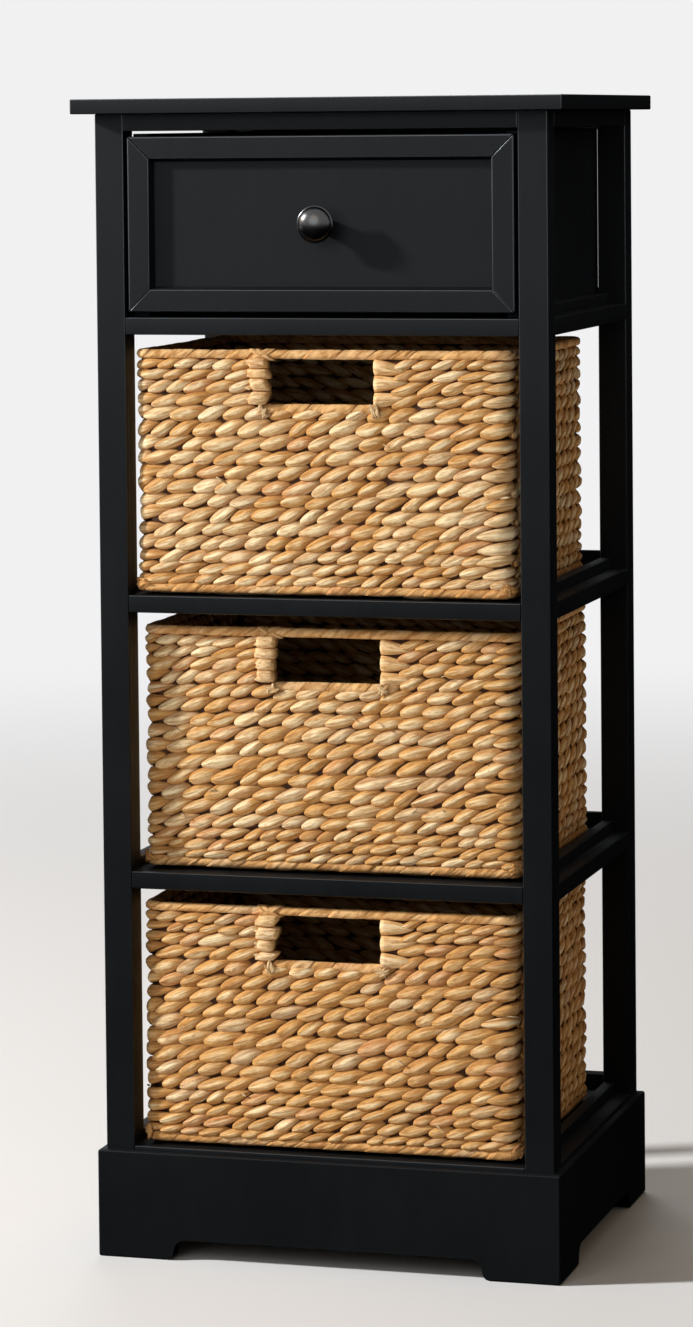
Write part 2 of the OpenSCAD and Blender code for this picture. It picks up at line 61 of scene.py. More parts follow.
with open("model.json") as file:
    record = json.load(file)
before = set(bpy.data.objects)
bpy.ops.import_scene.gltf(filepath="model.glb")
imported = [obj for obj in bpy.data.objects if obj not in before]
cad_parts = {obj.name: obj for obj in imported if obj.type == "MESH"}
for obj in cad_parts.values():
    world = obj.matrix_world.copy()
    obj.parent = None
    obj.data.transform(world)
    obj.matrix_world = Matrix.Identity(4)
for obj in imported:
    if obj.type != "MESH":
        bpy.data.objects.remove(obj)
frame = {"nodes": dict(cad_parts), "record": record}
CAD_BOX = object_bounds()

BASKETS = ("upper", "middle", "lower")
LEVELS = ("drawer", "upper", "middle", "lower")
SIDES = ("front", "back", "left", "right")
POSTS = ("front_left", "front_right", "back_left", "back_right")

SAME_PLACE = 2e-6  # Vertices of a CAD mesh that are this close are one
SAME_POINT = 1e-5  # Vertices of a turned shape that are this close are one
SAME_FACE = math.radians(1.5)  # Faces of a CAD mesh that meet at less than this are one
SHARP = math.radians(52)  # An edge that turns more than this stays sharp
MOULDING_EDGE = math.radians(30)  # An edge of the drawer's moulding that turns more is rounded
EASED_WIDE = 0.0018  # Widest face that counts as an eased edge
EASED_LONG = 0.004  # Shortest face that counts as an eased edge

# A leaf of the weave, in shares of its own thickness and of its row's height
LEAF_BREADTH = 0.94  # Half height of the leaf at its widest
LEAF_ROUND = 0.72  # How far its face falls off towards its edges
LEAF_HEAD_FALL = 0.30  # How far its face falls off at the left end
LEAF_TILT = 0.22  # How far its left end stands out, and its tail lies in
LEAF_ROW_END = 1.16  # Height from the row's middle at which its face has fallen to the core
LEAF_PRESSED = 0.25  # What is left of its way out beyond the farthest reach
FIBRE_RUN = 4  # Length of a leaf in its UV map

# The rows: ROW_FILL and FLOOR_FILL are a leaf's height in shares of its row's
ROW_FILL = 0.590
SIDE_FILL = 0.94  # Share of that height that the leaves off the front have
FLOOR_FILL = 0.53
SIDE_REACH = 0.44  # Farthest reach of the leaves off the front, in shares of the wall
CORNER_REACH = 0.48  # Farthest reach of the leaves round the corners
CORNER_CLIMB = 0.46  # How steeply the leaves round the corners climb
UNDER_WRAP = 0.85  # Share of the handle's wraps at which the rows end under them

# A leaf's tone runs from 0 for brown to 1 for pale
TONE = 0.60
TONE_SPREAD = 0.17
TONE_FALL = 0.11  # How much paler the upper basket is than the middle one
TONE_FALL_CURVE = 1.7  # Power of a basket's number, counted from the top, by which it falls
# Painted light and shade: a row is painted paler at its left end and darker at its right, and the leaves
# round the corners darker
PAINTED_LIGHT_TONE = 0.08  # How much paler a row is at its left end, and darker at its right
FLOOR_TONE = 0.10  # How much darker the floor is

# A turn of wrapping
WRAP_ROUND = 0.045  # How round its ends are: 0 is square
WRAP_OVERLAP = 1.22  # Its length in shares of its step
WRAP_SHADE = 0.9  # How dark its ends are
NEAR_POLE = 0.999  # Beyond this share of its length it closes to a point


# ---------------------------------------------------------------- settings

def length(name, description, default):
    return bpy.props.FloatProperty(
        name=name, description=description, default=default, min=0, unit="LENGTH", precision=4)


def share(name, description, default):
    return bpy.props.FloatProperty(
        name=name, description=description, default=default, min=0, max=1, subtype="FACTOR")


def colour(name, description, default):
    return bpy.props.FloatVectorProperty(
        name=name, description=description, default=default, min=0, max=1, size=3, subtype="COLOR")


def power(name, description, default):
    return bpy.props.FloatProperty(
        name=name, description=description, default=default, min=0, unit="POWER")


def rotation(name, description, degrees):
    return bpy.props.FloatProperty(
        name=name, description=description, default=math.radians(degrees), unit="ROTATION")


class TowerPaint(bpy.types.PropertyGroup):
    """Satin paint on the wood"""
    body: colour("Paint", "Colour of the paint", (0.0021, 0.0023, 0.0027))
    dusty: colour("Dusty paint", "Colour where the paint is a little lighter", (0.0038, 0.0041, 0.0046))
    roughness: share("Roughness", "Roughness of the satin paint", 0.52)
    gloss: share("Gloss", "Specular level of the paint", 0.21)
    edge_roughness: share("Edge roughness", "Roughness of the paint on the eased edges", 0.32)
    edge_gloss: share("Edge gloss", "Specular level of the paint on the eased edges", 1.00)
    speckle: length("Speckle", "Size of the spray's fine speckle", 0.0014)
    speckle_depth: length("Speckle depth", "Depth of the speckle", 0.00006)
    mitre_ease: length("Mitre ease", "Rounding of the drawer moulding's edges", 0.0011)


class TowerKnob(bpy.types.PropertyGroup):
    """Turned metal knob"""
    metal: colour("Metal", "Colour of the darkened metal", (0.078, 0.080, 0.083))
    warm: colour("Warm metal", "Colour where the finish is thin", (0.090, 0.080, 0.070))
    roughness: share("Roughness", "Roughness of the metal", 0.24)
    bead: length("Bead", "Width of the bead round the knob", 0.0011)


class TowerStraw(bpy.types.PropertyGroup):
    """Woven leaves of the baskets"""
    pale: colour("Pale leaf", "Lightest leaves", (0.990, 0.830, 0.530))
    gold: colour("Golden leaf", "Most of the leaves", (0.665, 0.374, 0.128))
    brown: colour("Brown leaf", "Darkest leaves", (0.450, 0.205, 0.065))
    pink: colour("Pink leaf", "Leaves with a pink cast", (0.640, 0.330, 0.160))
    # Painted shade: the dark colour painted into the creases between leaves and rows
    shade: colour("Crease", "Stain in the creases", (0.095, 0.030, 0.008))
    grey: colour("Grey leaf", "Leaves bleached to a greyish cream", (0.610, 0.460, 0.290))
    # Painted shade: colour of the dark sheet inside the weave, which stands for the shade between the
    # leaves
    core: colour("Core", "Dark inside of the weave", (0.030, 0.012, 0.005))
    cord: colour("Cord", "Wrapped cord of the rims", (0.620, 0.330, 0.115))
    cord_light: colour("Light cord", "Lightest wraps of the rims", (0.800, 0.520, 0.250))
    cream: colour("Cream wrap", "Pale wraps beside the handle", (0.880, 0.690, 0.430))
    leaf_pitch: length("Leaf pitch", "Spacing of the leaves along a row", 0.0188)
    overlap: share("Overlap", "How much longer a leaf is than its spacing", 0.48)
    corner_leaf: length("Corner leaf", "Farthest that a leaf runs on from a corner's round", 0.0140)
    rows: bpy.props.IntProperty(name="Rows", description="Woven rows between the rims", default=17, min=3)
    wall: length("Wall", "Thickness of the woven wall", 0.008)
    corner: length("Corner", "Outer radius of a basket's corners", 0.012)
    rim: length("Rim", "Diameter of the wrapped rim", 0.009)
    base_rim: length("Base rim", "Diameter of the wrapped base rim", 0.008)
    floor: length("Floor", "Thickness of the woven floor", 0.006)
    handle_w: length("Handle width", "Width of the handle's opening", 0.086)
    handle_h: length("Handle height", "Height of the handle's opening", 0.034)
    left_wrap: length("Left wrap", "Width of the wraps at the handle's left", 0.017)
    right_wrap: length("Right wrap", "Width of the wraps at the handle's right", 0.022)


class TowerStage(bpy.types.PropertyGroup):
    """Floor, lights and camera"""
    floor: colour("Floor", "Colour of the floor", (0.78, 0.78, 0.78))
    backdrop: colour("Backdrop", "Colour behind, to which the floor fades", (0.88, 0.88, 0.89))
    key: power("Key light", "Power of the light from the left", 500.0)
    fill: power("Fill light", "Power of the light from the front", 21.0)
    rim: power("Rim light", "Power of the light from behind, on the upper edges", 14.0)
    air: bpy.props.FloatProperty(
        name="Air", description="Strength of the light from all round", default=0.18, min=0)
    bounce: colour("Bounce", "Colour of the light from all round", (0.98, 0.79, 0.60))
    camera: bpy.props.FloatVectorProperty(
        name="Camera", description="Place of the camera", size=3, subtype="XYZ", unit="LENGTH",
        default=(0.9872, -3.4896, 0.9204))
    turn: rotation("Turn", "Camera's turn to the left", 16.104)
    tilt: rotation("Tilt", "Camera's tilt downwards", 2.916)
    roll: rotation("Roll", "Camera's roll", -0.532)
    lens: bpy.props.FloatProperty(name="Lens", description="Focal length in mm", default=119.13, min=1)
    shift: bpy.props.FloatProperty(name="Shift", description="Vertical shift of the lens", default=-0.24)


# ---------------------------------------------------------------- shader arithmetic

class Value:
    """An output socket of a node tree, on which +, - and * add Math nodes."""

    def __init__(self, nodes, socket):
        self.nodes = nodes
        self.socket = socket

    def other(self, output):
        """Another output of the same node."""
        return Value(self.nodes, self.socket.node.outputs[output])

    def _math(self, operation, first, second):
        return self.nodes.node("ShaderNodeMath", {"operation": operation}, {0: first, 1: second})

    def __add__(self, other):
        return self._math("ADD", self, other)

    def __radd__(self, other):
        return self._math("ADD", other, self)

    def __sub__(self, other):
        return self._math("SUBTRACT", self, other)

    def __rsub__(self, other):
        return self._math("SUBTRACT", other, self)

    def __mul__(self, other):
        return self._math("MULTIPLY", self, other)

    def __rmul__(self, other):
        return self._math("MULTIPLY", other, self)


class Nodes:
    """The node tree of a material or a world, its nodes made one by one."""

    def __init__(self, owner):
        owner.use_nodes = True
        self.tree = owner.node_tree
        self.tree.nodes.clear()

    def node(self, kind, settings=None, values=None, output=0):
        """Adds a node: its settings, a ramp's stops among them, then its sockets' values or links."""
        made = self.tree.nodes.new(kind)
        for key, value in (settings or {}).items():
            if key == "stops":
                stops = made.color_ramp.elements
                while len(stops) < len(value):
                    stops.new(0.5)
                for stop, (place, tint) in zip(stops, value):
                    stop.position = place
                    stop.color = (*tint, 1)
            else:
                setattr(made, key, value)
        for key, value in (values or {}).items():
            socket = made.inputs[key]
            if isinstance(value, Value):
                self.tree.links.new(value.socket, socket)
            else:
                socket.default_value = value
        return Value(self, made.outputs[output]) if made.outputs else None

    def mix(self, factor, first, second, blend="MIX"):
        first, second = (
            tint if isinstance(tint, Value) else (*tint, 1) for tint in (first, second))
        return self.node(
            "ShaderNodeMix", {"data_type": "RGBA", "blend_type": blend},
            {0: factor, 6: first, 7: second}, output=2)

    def ramp(self, value, low, high):
        """0 below low, 1 above high, smooth between."""
        return self.node(
            "ShaderNodeMapRange", {"interpolation_type": "SMOOTHSTEP"},
            {"Value": value, "From Min": low, "From Max": high})

    def noise(self, vector, scale, detail=2.0, roughness=0.5, distortion=0.0):
        return self.node(
            "ShaderNodeTexNoise", {},
            {"Vector": vector, "Scale": scale, "Detail": detail, "Roughness": roughness,
             "Distortion": distortion})

    def place(self, stretch=(1, 1, 1)):
        """Object coordinates, which are the tower's own, stretched."""
        spot = self.node("ShaderNodeTexCoord", output=3)
        return self.node("ShaderNodeMapping", {}, {"Vector": spot, "Scale": stretch})

    def bump(self, height, depth, normal=None):
        values = {"Height": height, "Distance": depth, "Strength": 1.0}
        if normal:
            values["Normal"] = normal
        return self.node("ShaderNodeBump", {}, values)


class Finish(Nodes):
    """A material of the tower."""

    def __init__(self, name):
        self.material = bpy.data.materials.new(name)
        super().__init__(self.material)

    def surface(self, values):
        """Closes the material with one shader."""
        shader = self.node("ShaderNodeBsdfPrincipled", {}, values)
        self.node("ShaderNodeOutputMaterial", {}, {"Surface": shader})
        return self.material


# ---------------------------------------------------------------- finishes

def black_paint(name, look, gloss, roughness):
    """Satin black over wood: fine spray speckle, a little dust and faint rub marks."""
    finish = Finish(name)
    dust = finish.noise(finish.place(), 7.0, 4.0, 0.55)
    rubbed = finish.noise(finish.place((1, 1, 0.18)), 90.0, 3.0, 0.6)
    speckle = finish.noise(finish.place(), 1 / look.speckle, 2.0, 0.6)
    tint = finish.mix(finish.ramp(dust * 0.7 + rubbed * 0.3, 0.38, 0.68), look.body, look.dusty)
    rough = roughness - 0.06 + dust * 0.08 + speckle * 0.10
    relief = finish.bump(speckle, look.speckle_depth)
    relief = finish.bump(rubbed, look.speckle_depth * 1.5, relief)
    return finish.surface({
        "Base Color": tint, "Roughness": rough, "Specular IOR Level": gloss,
        "Specular Tint": (0.86, 0.94, 1.0, 1.0), "Normal": relief})


def knob_metal(look):
    """Darkened metal, brushed round, warmer where the finish is thin."""
    finish = Finish("darkened_metal")
    cloud = finish.noise(finish.place(), 140.0, 4.0, 0.6)
    grit = finish.noise(finish.place(), 1500.0, 2.0, 0.5)
    tint = finish.mix(finish.ramp(cloud, 0.42, 0.70), look.metal, look.warm)
    return finish.surface({
        "Base Color": tint, "Metallic": 1.0, "Roughness": look.roughness - 0.05 + cloud * 0.14,
        "Normal": finish.bump(grit, 0.000015)})


def bare_steel():
    finish = Finish("bare_steel")
    cloud = finish.noise(finish.place(), 400.0, 3.0, 0.6)
    tint = finish.mix(cloud, (0.42, 0.42, 0.43), (0.60, 0.60, 0.61))
    return finish.surface({
        "Base Color": tint, "Metallic": 1.0, "Roughness": 0.28 + cloud * 0.2,
        "Normal": finish.bump(cloud, 0.00002)})


def beech():
    """Plain beech of the dowels, with its short dark flecks."""
    finish = Finish("plain_beech")
    grain = finish.noise(finish.place((1, 1, 6)), 240.0, 4.0, 0.6)
    fleck = finish.noise(finish.place((3, 3, 1)), 900.0, 1.0, 0.5)
    tint = finish.mix(grain, (0.52, 0.35, 0.19), (0.66, 0.48, 0.29))
    tint = finish.mix(finish.ramp(fleck, 0.62, 0.72) * 0.6, tint, (0.30, 0.17, 0.08))
    return finish.surface({
        "Base Color": tint, "Roughness": 0.55 + grain * 0.15, "Normal": finish.bump(grain, 0.00004)})


def leaf_finish(name, look, tones, shaded):
    """Dried leaf: fibres, brown spots, painted shade in the creases, at its edges and on its tail, and
    painted highlights on its crests and fold ridges; shaded is how dark its tail gets.
    """
    finish = Finish(name)
    strip = finish.node("ShaderNodeUVMap", {"uv_map": "fibre"})
    data = finish.node("ShaderNodeAttribute", {"attribute_name": "leaf"})
    tone = finish.node("ShaderNodeSeparateColor", {}, {"Color": data})
    cast, crest = tone.other(1), tone.other(2)
    shifted = finish.node(
        "ShaderNodeVectorMath", {"operation": "MULTIPLY_ADD"},
        {0: data, 1: (40, 70, 0), 2: strip})
    along = finish.node("ShaderNodeMapping", {}, {"Vector": shifted, "Scale": (0.10, 1.0, 1.0)})
    fibre = finish.noise(along, 7.0, 4.0, 0.65)
    fold = finish.noise(along, 3.0, 2.0, 0.5, 0.4)
    blotch = finish.noise(shifted, 1.3, 3.0, 0.6)
    way = finish.node("ShaderNodeSeparateXYZ", {}, {0: strip}) * (1 / FIBRE_RUN)
    tail = finish.ramp(way, 0.48, 0.90)
    pale, gold, brown, pink = tones
    tint = finish.node(
        "ShaderNodeValToRGB", {"stops": [(0.0, brown), (0.28, gold), (0.58, gold), (0.95, pale)]},
        {"Fac": tone * 0.75 + blotch * 0.25})
    tint = finish.mix(finish.ramp(cast, 0.84, 0.99) * 0.75, tint, pink)
    tint = finish.mix((1 - finish.ramp(cast, 0.02, 0.16)) * 0.70, tint, look.grey)
    pallor = finish.ramp(tone, 0.20, 0.75) * 0.75 + 0.45
    # Painted highlight: pale where the leaf's crest stands out most, less on its tail and on darker leaves
    painted_highlight = finish.ramp(crest, 0.66, 0.96) * (1 - tail * shaded)
    tint = finish.mix(painted_highlight * pallor * 0.58, tint, pale)
    streak = finish.ramp(fibre, 0.38, 0.58)
    stain = finish.mix(streak, (0.50, 0.34, 0.19), (1.0, 1.0, 1.0))
    tint = finish.mix(0.75, tint, stain, "MULTIPLY")
    # Painted highlight: paler on the ridges of the folds
    ridge = finish.ramp(fold, 0.54, 0.74)
    tint = finish.mix(ridge * pallor * 0.68, tint, pale)
    vein = 1 - finish.ramp(fold, 0.30, 0.41)
    tint = finish.mix(vein * 0.68, tint, brown)
    spot = finish.ramp(finish.noise(shifted, 5.0, 2.0, 0.7), 0.66, 0.74)
    tint = finish.mix(spot * 0.55, tint, brown)
    # Painted shade: browner towards the leaf's edges and its sunken tail, where the crest falls away
    edge = 1 - finish.ramp(crest, 0.25, 0.90)
    tint = finish.mix(edge * 0.50, tint, brown)
    # Painted shade: the tail, which dives under the next leaf, is painted browner
    tint = finish.mix(tail * shaded * 0.62, tint, brown)
    # Painted shade: dark in the creases between leaves and rows, where the crest falls to the core
    crease = 1 - finish.ramp(crest, 0.06, 0.38)
    tint = finish.mix(crease * 0.90, tint, look.shade)
    relief = finish.bump(fold, 0.0028)
    relief = finish.bump(fibre, 0.0009, relief)
    return finish.surface({
        "Base Color": tint, "Roughness": 0.58 - ridge * 0.10 + fibre * 0.12,
        "Specular IOR Level": 0.02, "Normal": relief})


def core_finish(look):
    finish = Finish("weave_core")
    cloud = finish.noise(finish.place(), 300.0, 3.0, 0.6)
    # Painted shade: the core is painted dark, between the core and crease colours
    tint = finish.mix(cloud, look.core, look.shade)
    return finish.surface({
        "Base Color": tint, "Roughness": 0.85, "Normal": finish.bump(cloud, 0.0004)})


# ---------------------------------------------------------------- mesh helpers

def new_object(name, form, finishes):
    """Puts a finished bmesh in the scene as an object."""
    mesh = bpy.data.meshes.new(name)
    form.to_mesh(mesh)
    form.free()
    for finish in finishes:
        mesh.materials.append(finish)
    made = bpy.data.objects.new(name, mesh)
    bpy.context.scene.collection.objects.link(made)
    return made


def add_piece(name, form, body, finishes, replaces=()):
    """Puts a finished bmesh in the scene as a piece of the tower."""
    piece = new_object(name, form, finishes)
    piece.data.shade_smooth()
    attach(piece, body)
    if replaces:
        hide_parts(*replaces)
    return piece


def arc(start, end, parts):
    """Angles from start to end, given in degrees, in equal parts."""
    return [math.radians(start + number * (end - start) / parts) for number in range(parts + 1)]


def body_of(node):
    """The body that a CAD node moves with."""
    return next(
        body for body, members in frame["record"]["behaviour"]["bodies"].items() if node in members)


def clean_copy(node):
    """A CAD node's mesh with its loose triangles merged into whole faces."""
    form = bmesh.new()
    form.from_mesh(frame["nodes"][node].data)
    bmesh.ops.remove_doubles(form, verts=form.verts, dist=SAME_PLACE)
    bmesh.ops.dissolve_limit(
        form, angle_limit=SAME_FACE, verts=form.verts, edges=form.edges)
    return form


def finish_named(name, make, *args):
    """A finish that may have been made already."""
    return bpy.data.materials.get(name) or make(*args)


def paints(look):
    """The paint of the faces and that of the eased edges."""
    return [
        finish_named("satin_black", black_paint, "satin_black", look, look.gloss, look.roughness),
        finish_named("rubbed_edge", black_paint, "rubbed_edge", look, look.edge_gloss, look.edge_roughness)]


def painted(node, finishes, ease=0.0):
    """A board, its eased edges shaded round and rubbed; ease also rounds its face's sharp edges."""
    form = clean_copy(node)
    if ease:
        front = min(vert.co.y for vert in form.verts)
        edges = [
            edge for edge in form.edges
            if all(vert.co.y < front + ease for vert in edge.verts)
            and edge.calc_face_angle(0) > MOULDING_EDGE]
        bmesh.ops.bevel(
            form, geom=edges, offset=ease, offset_type="OFFSET", affect="EDGES", segments=2,
            profile=0.5, material=-1, clamp_overlap=True)
    for face in form.faces:
        longest = max(edge.calc_length() for edge in face.edges)
        eased = face.calc_area() / longest < EASED_WIDE and longest > EASED_LONG
        face.material_index = int(eased)
    for edge in form.edges:
        edge.smooth = edge.calc_face_angle(0) < SHARP
    piece = add_piece(node + "_painted", form, body_of(node), finishes, [node])
    if "custom_normal" in piece.data.attributes:
        piece.data.attributes.remove(piece.data.attributes["custom_normal"])
    shading = piece.modifiers.new("flat faces, round edges", "WEIGHTED_NORMAL")
    shading.weight = 90
    shading.keep_sharp = True


# ---------------------------------------------------------------- basket geometry

class Ring:
    """A rectangle with round corners, along which a wall or a cord runs: s is the way along its middle."""

    def __init__(self, centre, half_x, half_y, radius):
        self.centre = centre
        self.half = (half_x, half_y)
        self.radius = radius
        self.straight = (2 * (half_x - radius), 2 * (half_y - radius))
        self.arc = radius * math.pi / 2
        self.around = 2 * (sum(self.straight) + 2 * self.arc)

    def at(self, s, out, z):
        """The point s along the ring, out from it and z up; s is 0 at the middle of the front."""
        s = (s + self.straight[0] / 2) % self.around
        half_x, half_y = self.half
        for quarter in range(4):
            run = self.straight[quarter % 2]
            if s < run + self.arc or quarter == 3:
                break
            s -= run + self.arc
        reach = half_y if quarter % 2 == 0 else half_x
        side = half_x if quarter % 2 == 0 else half_y
        if s < run:
            x, y = s - run / 2, -reach - out
        else:
            angle = (s - run) / self.radius
            x = side - self.radius + (self.radius + out) * math.sin(angle)
            y = -(reach - self.radius) - (self.radius + out) * math.cos(angle)
        for _ in range(quarter):
            x, y = -y, x
        return Vector((self.centre.x + x, self.centre.y + y, z))


class Strips:
    """Many closed strips of leaf, each a ball that its own shape draws out, gathered in one mesh."""

    def __init__(self, around, along, fibres_round=False):
        self.template = bpy.data.meshes.new("strip")
        ball = bmesh.new()
        ball.loops.layers.uv.new("fibre")
        bmesh.ops.create_uvsphere(
            ball, u_segments=around, v_segments=along, radius=1, calc_uvs=True)
        layer = ball.loops.layers.uv.active
        for face in ball.faces:
            for loop in face.loops:
                u, v = loop[layer].uv
                loop[layer].uv = (u * 4, v * 0.8) if fibres_round else (v * FIBRE_RUN, u * 2)
        ball.to_mesh(self.template)
        ball.free()
        self.points = []
        self.shades = []
        self.count = 0

    def add(self, shape, tone, cast):
        """Adds one strip: shape gives the point and the crest of each vertex of the ball."""
        for vert in self.template.vertices:
            point, crest = shape(*vert.co)
            self.points.append(point)
            # The crest goes to the finish, which paints shade where it is low and highlights where it is
            # high
            self.shades.append((tone, cast, crest, 1.0))
        self.count += 1

    def into(self, form):
        """Adds the strips to a bmesh, with what each vertex holds for its finish."""
        layers = form.verts.layers.float_color
        if "leaf" not in layers:
            layers.new("leaf")
        start = len(form.verts)
        for _ in range(self.count):
            form.from_mesh(self.template)
        form.verts.ensure_lookup_table()
        layer = layers["leaf"]
        for vert, point, shade in zip(form.verts[start:], self.points, self.shades):
            vert.co = point
            vert[layer] = shade


def leaf_shape(at, s, z, look, draw, climb=0.56, reach_out=None):
    """A leaf of a row: blunt and raised at its left end, drawn out to go under the next leaf."""
    long = look["pitch"] / 2 * (1 + look["overlap"]) * draw.uniform(0.92, 1.12)
    tall = look["tall"] * draw.uniform(0.92, 1.10)
    thick = look["thick"] * draw.uniform(0.84, 1.14)
    climb = climb * draw.uniform(0.70, 1.30)
    lean = draw.uniform(-0.09, 0.09)
    skew = draw.uniform(-0.45, 0.45)
    tail, head = draw.uniform(1.4, 1.9), draw.uniform(2.3, 3.3)
    hollow = draw.uniform(0.62, 0.82)
    wave = look["wave"]

    def shape(x, y, along):
        around = math.hypot(x, y)
        across, side = (x / around, y / around) if around > 1e-3 else (0.0, 0.0)
        if along > 0:
            width, lift = max(1 - along ** tail, 0.0) ** 0.75, 1 - hollow * along ** 1.6
        else:
            width, lift = max(1 - (-along) ** head, 0.0) ** 0.62, 1 - LEAF_HEAD_FALL * along ** 4
        rise = lean + climb * math.sin(math.pi / 2 * along) + LEAF_BREADTH * width * across
        here = s + long * along
        bulge, ripple = wave(here, z)
        pillow = lift * (1 - LEAF_ROUND * abs(across - skew * (1 - across * across)) ** 2.4)
        row = max(1 - (rise / LEAF_ROW_END) ** 2, 0.0) ** 0.35
        crest = max(pillow, 0.0) * row * abs(side) ** 0.3
        out = math.copysign(thick * crest, side) - LEAF_TILT * thick * along + bulge
        if reach_out and out > reach_out:
            out = reach_out + (out - reach_out) * LEAF_PRESSED
        return at(here, out, z + ripple + tall * rise), crest

    return shape


def wrap_shape(at, long, thick, slant, flat=1.0, seam_shade=0.0):
    """A turn of wrapping: a barrel with leaning ends. at(along, out, up) gives its points."""

    def shape(side, up, along):
        around = math.hypot(side, up) or 1.0
        closed = abs(along) >= NEAR_POLE
        girth = 0.0 if closed else thick * (1 - along * along) ** WRAP_ROUND
        lean = 0.0 if closed else slant * (up / around)
        point = at(
            long / 2 * WRAP_OVERLAP * along + lean, girth * side / around, girth * flat * up / around)
        # Painted shade: the crest falls towards the turn's ends and its upper and lower edges, and the
        # finish paints shade there
        crest = max(1 - WRAP_SHADE * abs(along) ** 9, 0.0) * (1 - seam_shade * (up / around) ** 8)
        return point, crest

    return shape


def basket_look(straw, draw, height):
    """Sizes and the slow waves of one basket's walls."""
    first, second = draw.uniform(0, 6), draw.uniform(0, 6)
    bulge, ripple, flutter = 0.0006, 0.0007, 0.0004
    bulge_run, ripple_run, flutter_run = 0.055, 0.041, 0.013
    ripple_climb, flutter_climb = 70, 300

    def wave(s, z):
        """How far the wall bulges, which it does low in the tower alone, and how its rows ripple."""
        belly = math.sin(math.pi * min(max(z / height, 0), 1))
        out = bulge * belly * (1 + math.sin(s / bulge_run + first))
        up = ripple * math.sin(s / ripple_run + second + z * ripple_climb)
        return out, up + flutter * math.sin(s / flutter_run + z * flutter_climb)

    return {"overlap": straw.overlap, "thick": straw.wall * 0.56, "wave": wave}


class Basket:
    """The places of one basket, read from the frame."""

    def __init__(self, level, straw):
        low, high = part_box(level + "_basket_weave")
        _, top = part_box(level + "_basket_rim")
        base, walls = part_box(level + "_basket_base_rim")
        self.body = body_of(level + "_basket_weave")
        self.centre = (low + high) / 2
        self.half_x = (high.x - low.x) / 2 - straw.wall / 2
        self.half_y = (high.y - low.y) / 2 - straw.wall / 2
        self.foot, self.base, self.low, self.high, self.top = low.z, base.z, walls.z, high.z, top.z
        self.ring = Ring(self.centre, self.half_x, self.half_y, straw.corner - straw.wall / 2)
        self.step = (self.high - self.low) / straw.rows
        self.handle_low = self.top - straw.rim - straw.handle_h
        self.bar_z = self.handle_low - straw.rim / 2
        self.handle_half = straw.handle_w / 2
        self.draw = random.Random("basket " + level)
        self.mood = TONE_FALL - TONE_FALL * BASKETS.index(level) ** TONE_FALL_CURVE

    def tone(self, mood=0.0):
        """A leaf's own tone, from 0 for brown to 1 for pale."""
        return min(max(self.draw.gauss(TONE + self.mood + mood, TONE_SPREAD), 0), 1)


def spaced(start, end, pitch, draw):
    """Uneven places that fill the way from start to end: the middle and the width of each."""
    count = max(1, round((end - start) / pitch + draw.uniform(-0.45, 0.45)))
    widths = [draw.uniform(0.80, 1.20) for _ in range(count)]
    scale = (end - start) / sum(widths)
    for width in widths:
        yield start + width * scale / 2, width * scale
        start += width * scale


def uneven_rows(basket, straw):
    """The middle and the height of each woven row: the rows halfway up are the tallest."""
    shares = [
        basket.draw.uniform(0.90, 1.10) * (0.80 + 0.36 * math.sin(math.pi * (row + 0.5) / straw.rows))
        for row in range(straw.rows)]
    unit = (basket.high - basket.low) / sum(shares)
    level = basket.low
    for row in shares:
        yield level + row * unit / 2, row * unit
        level += row * unit


def straight_runs(ring):
    """Where each side of a ring starts and ends, from the front round to the left."""
    runs = []
    start = -ring.straight[0] / 2
    for run in ring.straight * 2:
        runs.append((start, start + run))
        start += run + ring.arc
    return runs


def woven_walls(basket, straw):
    """Row over row of leaves: one folds round each corner, and the rest fill the sides between."""
    ring, draw = basket.ring, basket.draw
    look = basket_look(straw, draw, basket.top - basket.foot)
    leaves = Strips(12, 8)
    plain = straight_runs(ring)
    left_edge = -basket.handle_half - straw.left_wrap * UNDER_WRAP
    right_edge = basket.handle_half + straw.right_wrap * UNDER_WRAP
    for z, high in uneven_rows(basket, straw):
        tall = high * ROW_FILL
        pitch = straw.leaf_pitch * (0.5 + 0.5 * high / basket.step)
        mood = draw.uniform(-0.06, 0.06)
        sides = [
            (start + straw.corner_leaf * draw.random(), end - straw.corner_leaf * draw.random())
            for start, end in plain]
        runs = list(sides)
        if z > basket.bar_z:
            runs[0:1] = [(sides[0][0], left_edge), (right_edge, sides[0][1])]
        for first, last in runs:
            for middle, width in spaced(first, last, pitch, draw):
                front = middle < ring.straight[0] / 2
                reach_out = None if front else straw.wall * SIDE_REACH
                look["pitch"], look["tall"] = width, tall if front else tall * SIDE_FILL
                leaf = leaf_shape(ring.at, middle, z, look, draw, reach_out=reach_out)
                # Painted light: paler towards the row's left end, darker towards its right
                painted_left_light = min(max(-middle * 0.5, -PAINTED_LIGHT_TONE), PAINTED_LIGHT_TONE)
                leaves.add(leaf, basket.tone(mood + painted_left_light), draw.random())
        for (_, last), (first, _) in zip(sides, sides[1:] + sides[:1]):
            first += ring.around if first < last else 0
            look["pitch"] = first - last
            leaf = leaf_shape(
                ring.at, (first + last) / 2, z, look, draw, CORNER_CLIMB, straw.wall * CORNER_REACH)
            # Painted shade: the leaves round the corners are painted darker
            leaves.add(leaf, basket.tone(mood - PAINTED_LIGHT_TONE), draw.random())
    return leaves


